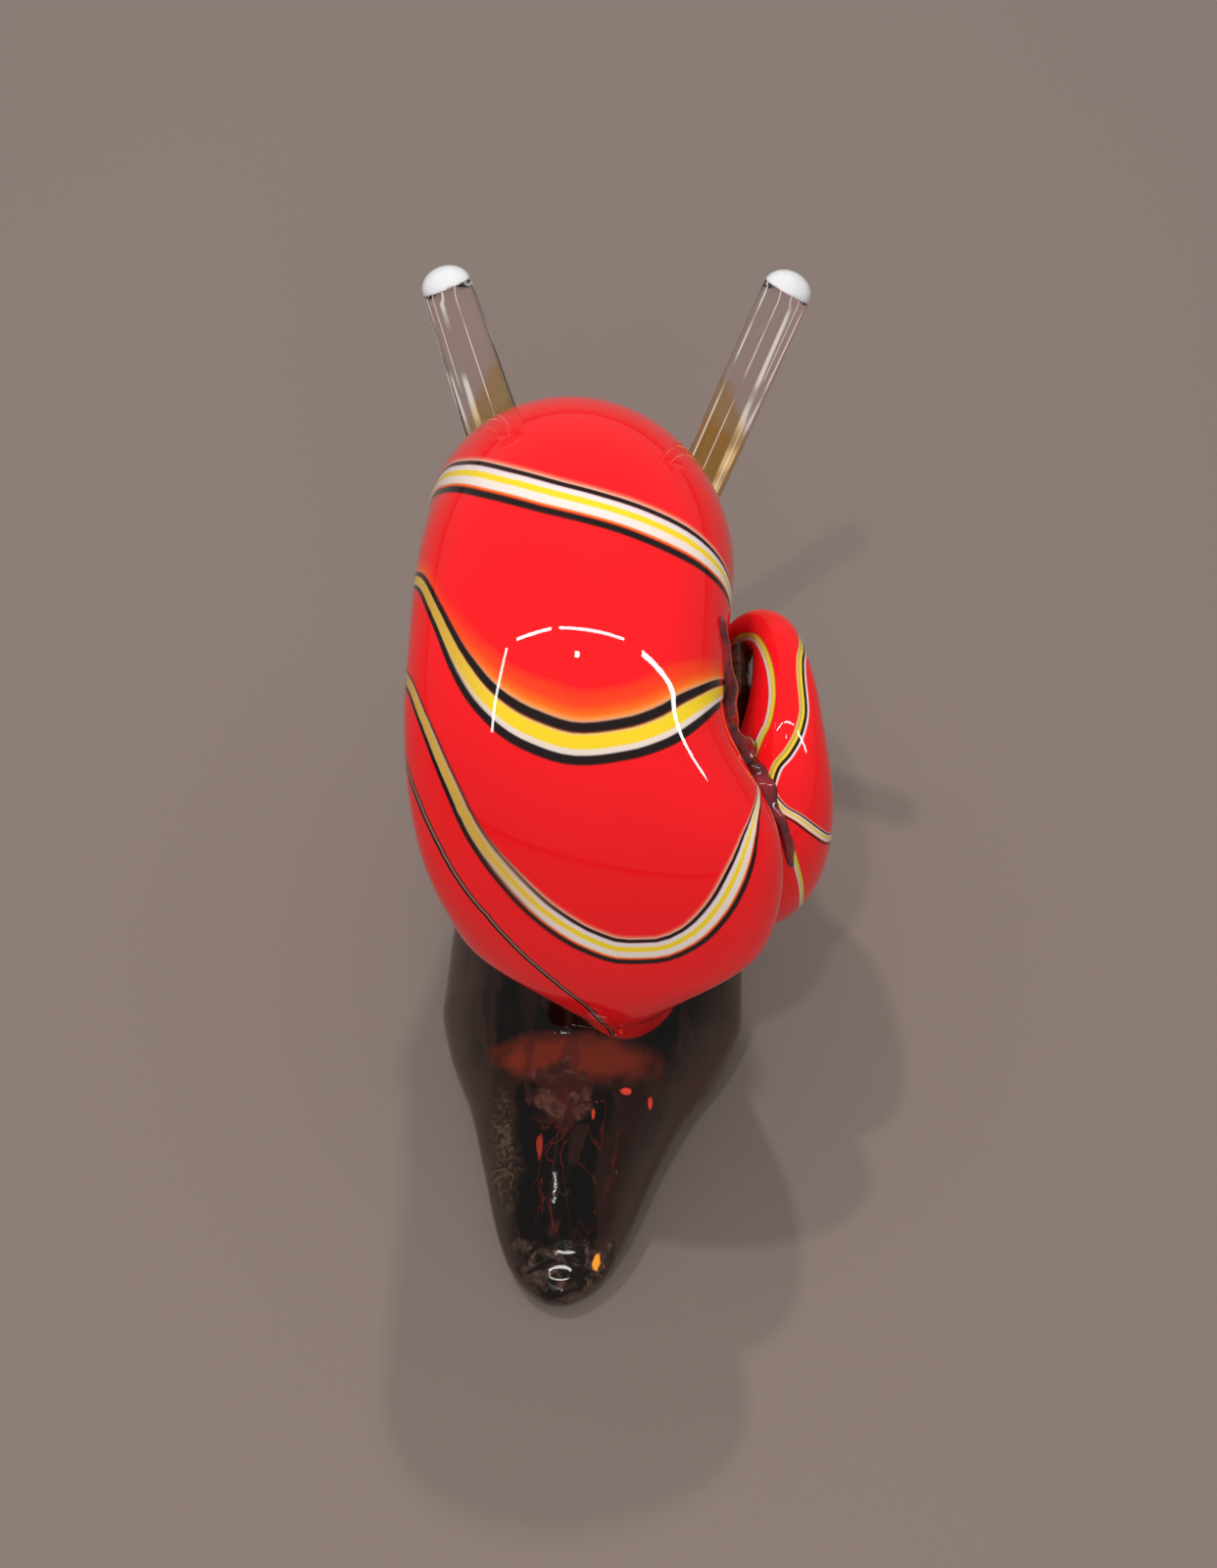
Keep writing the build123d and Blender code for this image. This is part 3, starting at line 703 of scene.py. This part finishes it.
# Tentacles: two rods of clear glass, drawn out of amber stubs on the head.
# A wedge of the amber runs up the inner side of each rod before the glass turns clear.
# The cap of each is opaque white glass, melted to a dome.
stub_front = axis_place[1] + head_reach * 0.765
stub_start = head_height - 17.5
tentacle_rise = 86.5
tip_dome_height = 3.0
white_tip_height = 3.0
# The cuts between rod and cap and between rod and amber are slanted: across the rod's thickness
# each falls this far to the front and to the outer side
tip_front_slant = 5.0
tip_side_slant = 2.4
wedge_front_slant = 16.0
# Rod and cap run into each other by this much, and the cap is this much thicker all round
tip_overlap = 0.3
cap_swell = 0.04


def drawn_rod(name, root, along, radii):
    # A round rod: a ring at the root, drawn out step by step to the heights and radii given
    turned = along.to_track_quat("Z", "Y")
    up = along.normalized()
    bpy.ops.object.select_all(action="DESELECT")
    first_height, first_radius = radii[0]
    start = (root + up * first_height) * mm
    bpy.ops.mesh.primitive_circle_add(
        vertices=64, radius=first_radius * mm, fill_type="NGON",
        location=start, rotation=turned.to_euler(),
    )
    rod = bpy.context.object
    rod.name = name
    rod.data.name = name
    bpy.ops.object.transform_apply(location=True, rotation=True, scale=True)
    bpy.ops.object.mode_set(mode="EDIT")
    bpy.ops.mesh.select_all(action="SELECT")
    for (height_before, radius_before), (height, radius) in zip(radii, radii[1:]):
        step = up * (height - height_before) * mm
        bpy.ops.mesh.extrude_region_move(TRANSFORM_OT_translate={"value": step})
        ratio = radius / radius_before
        middle = (root + up * height) * mm
        bpy.ops.transform.resize(value=(ratio, ratio, ratio), center_override=middle)
    bpy.ops.mesh.select_all(action="SELECT")
    bpy.ops.mesh.normals_make_consistent(inside=False)
    bpy.ops.object.mode_set(mode="OBJECT")
    bpy.ops.object.shade_smooth()
    return rod


def parted(piece, place, normal, keep_upper):
    # Cuts the piece at a plane, keeps one side and closes it
    bpy.ops.object.select_all(action="DESELECT")
    piece.select_set(True)
    bpy.context.view_layer.objects.active = piece
    bpy.ops.object.mode_set(mode="EDIT")
    bpy.ops.mesh.select_all(action="SELECT")
    bpy.ops.mesh.bisect(
        plane_co=place * mm, plane_no=normal, use_fill=True,
        clear_inner=keep_upper, clear_outer=not keep_upper,
    )
    bpy.ops.object.mode_set(mode="OBJECT")


def rod_radii(length, root_radius, tip_radius):
    # Heights and radii, from the root inside the head over the flare and the rod to the dome
    root_depth = 2.0
    flare = 2.6
    flare_height = 15.0
    flare_steps, rod_steps, dome_steps = 6, 24, 12
    # The dome stops just short of its top, in a small flat
    dome_turn = radians(86.4)
    stops = [(-root_depth, root_radius * 0.6), (0.0, root_radius + flare)]
    for k in range(1, flare_steps + 1):
        share = k / flare_steps
        stops.append((flare_height * share, root_radius + flare * (1 - share) ** 2))
    for k in range(1, rod_steps + 1):
        share = k / rod_steps
        height = flare_height + (length - flare_height) * share
        stops.append((height, root_radius + (tip_radius - root_radius) * share))
    for k in range(1, dome_steps + 1):
        angle = dome_turn * k / dome_steps
        stops.append((length + tip_dome_height * sin(angle), tip_radius * cos(angle)))
    return stops


clear_glass_values = {
    "Roughness": 0.01,
    "IOR": 1.38,
    "Transmission Weight": 1.0,
    "Emission Strength": 1.0,
}
white_glass = Glass("white_glass", {
    "Roughness": 0.25,
    "IOR": 1.5,
    "Coat Weight": 1.0,
    "Coat Roughness": 0.02,
})
white_drift = white_glass.noise(300.0, 2.0)
white_glass.feed("Base Color", white_glass.mix(white_drift, (0.80, 0.80, 0.81), (0.90, 0.90, 0.90)))

# Columns: side, root's side place, lean to the side and to the back over the rise, radii at root
# and tip, height and side slant of the amber wedge, and the place and thickness of the painted reflection
# streaks
for (
    side_name, root_side, side_lean, back_lean, root_radius, tip_radius,
    wedge_height, wedge_side_slant, painted_streaks_at,
) in (
    ("left", -18.5, -14.8, 5.5, 7.4, 4.7, 60.0, 40.0, ((0.42, 0.024), (-0.50, 0.024), (0.92, 0.03))),
    ("right", 7.0, 23.0, 3.5, 5.4, 4.6, 59.0, 31.0, ((-0.42, 0.026), (0.40, 0.024), (-0.92, 0.03))),
):
    root = Vector((body_centre_x + root_side, stub_front, stub_start))
    along = Vector((side_lean, -back_lean, tentacle_rise))
    up = along.normalized()
    outward = Vector((side_lean, 0, 0)).normalized()
    forward = Vector((0, 1, 0))
    radii = rod_radii(along.length, root_radius, tip_radius)
    tip_place = root + up * (along.length + tip_dome_height - white_tip_height)
    tip_normal = up * (2 * tip_radius) + outward * tip_side_slant + forward * tip_front_slant
    tip_normal.normalize()
    rod = drawn_rod("tentacle_" + side_name + "_rod", root, along, radii)
    parted(rod, tip_place + up * tip_overlap, tip_normal, False)
    cap = drawn_rod("tentacle_" + side_name + "_cap", root, along, radii)
    parted(cap, tip_place, tip_normal, True)
    bpy.ops.object.mode_set(mode="EDIT")
    bpy.ops.mesh.select_all(action="SELECT")
    bpy.ops.transform.shrink_fatten(value=cap_swell * mm)
    bpy.ops.object.mode_set(mode="OBJECT")

    clear_glass = Glass("clear_glass_" + side_name, clear_glass_values)
    place = clear_glass.node("ShaderNodeTexCoord", {}, {}, "Object")
    wedge_normal = up * (2 * root_radius) + outward * wedge_side_slant + forward * wedge_front_slant
    wedge_normal.normalize()
    wedge_place = (root + up * wedge_height) * mm
    away = clear_glass.node("ShaderNodeVectorMath", {"operation": "SUBTRACT"}, [place, wedge_place])
    height = clear_glass.node("ShaderNodeVectorMath", {"operation": "DOT_PRODUCT"}, [away, wedge_normal], 1)
    height = height + (clear_glass.noise(180.0, 3.0) - 0.5) * (4 * mm)
    above = height.step(-1.2 * mm, 1.2 * mm)
    clear_glass.feed("Base Color", clear_glass.mix(above, (0.92, 0.62, 0.20), (0.98, 0.98, 0.98)))
    # Painted reflections: thin bright streaks along the rod, broken in places, glowing by emission in place
    # of reflected lamp lines
    from_root = clear_glass.node("ShaderNodeVectorMath", {"operation": "SUBTRACT"}, [place, root * mm])
    side_way = (outward - up * outward.dot(up)).normalized()
    run = clear_glass.node("ShaderNodeVectorMath", {"operation": "DOT_PRODUCT"}, [from_root, up], 1)
    across = clear_glass.node("ShaderNodeVectorMath", {"operation": "DOT_PRODUCT"}, [from_root, side_way], 1)
    across = across / (run * (tip_radius - root_radius) / along.length + root_radius * mm)
    broken = clear_glass.noise(70.0, 1.0).step(0.36, 0.52)
    painted_streaks = 0
    for streak_place, thick in painted_streaks_at:
        painted_streaks = (1 - (across - streak_place).sum("ABSOLUTE").step(thick * 0.4, thick)) * broken + painted_streaks
    clear_glass.feed("Emission Color", clear_glass.mix(painted_streaks, (0, 0, 0), (0.42, 0.39, 0.37)))
    rod.data.materials.append(clear_glass.material)
    cap.data.materials.append(white_glass.material)
    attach(rod, "root")
    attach(cap, "root")
    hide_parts("tentacle_" + side_name)
    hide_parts("tentacle_tip_" + side_name)


# Stage: a plain grey-brown paper, wide soft lamps, and the photograph's own view.
# Narrow strip lamps stand round the camera and show in the shell's gloss.
# None of this is part of the object.
bpy.ops.object.select_all(action="DESELECT")
bpy.ops.mesh.primitive_plane_add(size=6.0, location=(0, 0, -0.0002))
floor = bpy.context.object
floor.name = "floor"
paper = Glass("grey_paper", {"Roughness": 0.85, "IOR": 1.4})
paper_drift = paper.noise(1.8, 2.0)
paper.feed("Base Color", paper.mix(paper_drift, (0.242, 0.190, 0.168), (0.258, 0.203, 0.180)))
floor.data.materials.append(paper.material)


def lamp(name, place, target, size, power):
    # An area lamp at a place, turned to a target; metres and watts
    light = bpy.data.lights.new(name, "AREA")
    light.shape = "RECTANGLE"
    light.size, light.size_y = size
    light.energy = power
    holder = bpy.data.objects.new(name, light)
    holder.location = place
    holder.rotation_euler = (Vector(target) - Vector(place)).to_track_quat("-Z", "Y").to_euler()
    bpy.context.scene.collection.objects.link(holder)
    return holder


def strip(name, seen_from, start, end, width, power):
    # A narrow lamp between two directions as seen from a place on the object
    distance = 0.7
    first, last = (seen_from + Vector(way).normalized() * distance for way in (start, end))
    middle = (first + last) / 2
    holder = lamp(name, middle, seen_from, ((last - first).length, width), power)
    away = (middle - seen_from).normalized()
    along = (last - first).normalized()
    holder.rotation_euler = Matrix((along, away.cross(along), away)).transposed().to_euler()
    return holder


soft_top = lamp("soft_top", (-0.1, 0.2, 1.5), (0, 0, 0.06), (1.8, 1.8), 6.9)
soft_back = lamp("soft_back", (0.1, -1.3, 0.75), (0, 0, 0.06), (0.9, 0.6), 5.5)
key_left = lamp("key_left", (-0.36, 0.27, 1.42), (0, 0, 0.06), (0.05, 0.05), 4.3)
key_front = lamp("key_front", (0.02, 0.85, 1.25), (0, 0, 0.06), (0.05, 0.05), 5.4)
key_back = lamp("key_back", (-0.24, -0.52, 1.23), (0, 0, 0.06), (0.05, 0.05), 2.6)
for wide in (soft_top, soft_back, key_left, key_front, key_back):
    wide.visible_glossy = False
shell_top = Vector((0, -0.018, 0.13))
strips = [
    strip("strip_left", shell_top, (-0.529, -0.254, 0.81), (-0.595, -0.668, 0.448), 0.017, 0.42),
    strip("strip_top_left", shell_top, (-0.451, -0.229, 0.863), (-0.155, -0.209, 0.966), 0.015, 0.28),
    strip("strip_top_right", shell_top, (-0.089, -0.206, 0.975), (0.500, -0.18, 0.847), 0.014, 0.40),
    strip("strip_right", shell_top, (0.66, -0.185, 0.73), (0.94, -0.137, 0.33), 0.026, 0.68),
    strip("spot", shell_top, (0.065, -0.363, 0.928), (0.105, -0.363, 0.928), 0.026, 0.09),
]
# Five strips shine on the shell and its seam alone, and the last one on the body alone
strip_lit = bpy.data.collections.new("strip_lit")
for piece in (shell, seam):
    strip_lit.objects.link(piece)
for holder in strips:
    holder.light_linking.receiver_collection = strip_lit
tail_end = Vector((-0.008, -0.081, 0.010))
tail_lit = bpy.data.collections.new("tail_lit")
tail_lit.objects.link(body)
tail_strip = strip("tail_strip", tail_end, (-0.189, -0.852, 0.489), (0.211, -0.869, 0.447), 0.014, 0.20)
tail_strip.light_linking.receiver_collection = tail_lit

world = bpy.data.worlds.new("studio")
bpy.context.scene.world = world
world.use_nodes = True
world.node_tree.nodes["Background"].inputs["Color"].default_value = (0.80, 0.79, 0.78, 1)
world.node_tree.nodes["Background"].inputs["Strength"].default_value = 0.28

view_turn = radians(3)
view_rise = radians(55)
view_target = Vector((-0.0025, 0.0029, 0.062))
view_distance = 0.3
view_back = Vector((sin(view_turn) * cos(view_rise), -cos(view_turn) * cos(view_rise), sin(view_rise)))
camera = bpy.data.cameras.new("camera")
camera.sensor_fit = "VERTICAL"
camera.sensor_height = 36.0
camera.lens = 33.75
camera_holder = bpy.data.objects.new("camera", camera)
camera_holder.location = view_target + view_back * view_distance
camera_holder.rotation_euler = view_back.to_track_quat("Z", "Y").to_euler()
bpy.context.scene.collection.objects.link(camera_holder)
bpy.context.scene.camera = camera_holder
bpy.context.scene.view_settings.view_transform = "Standard"
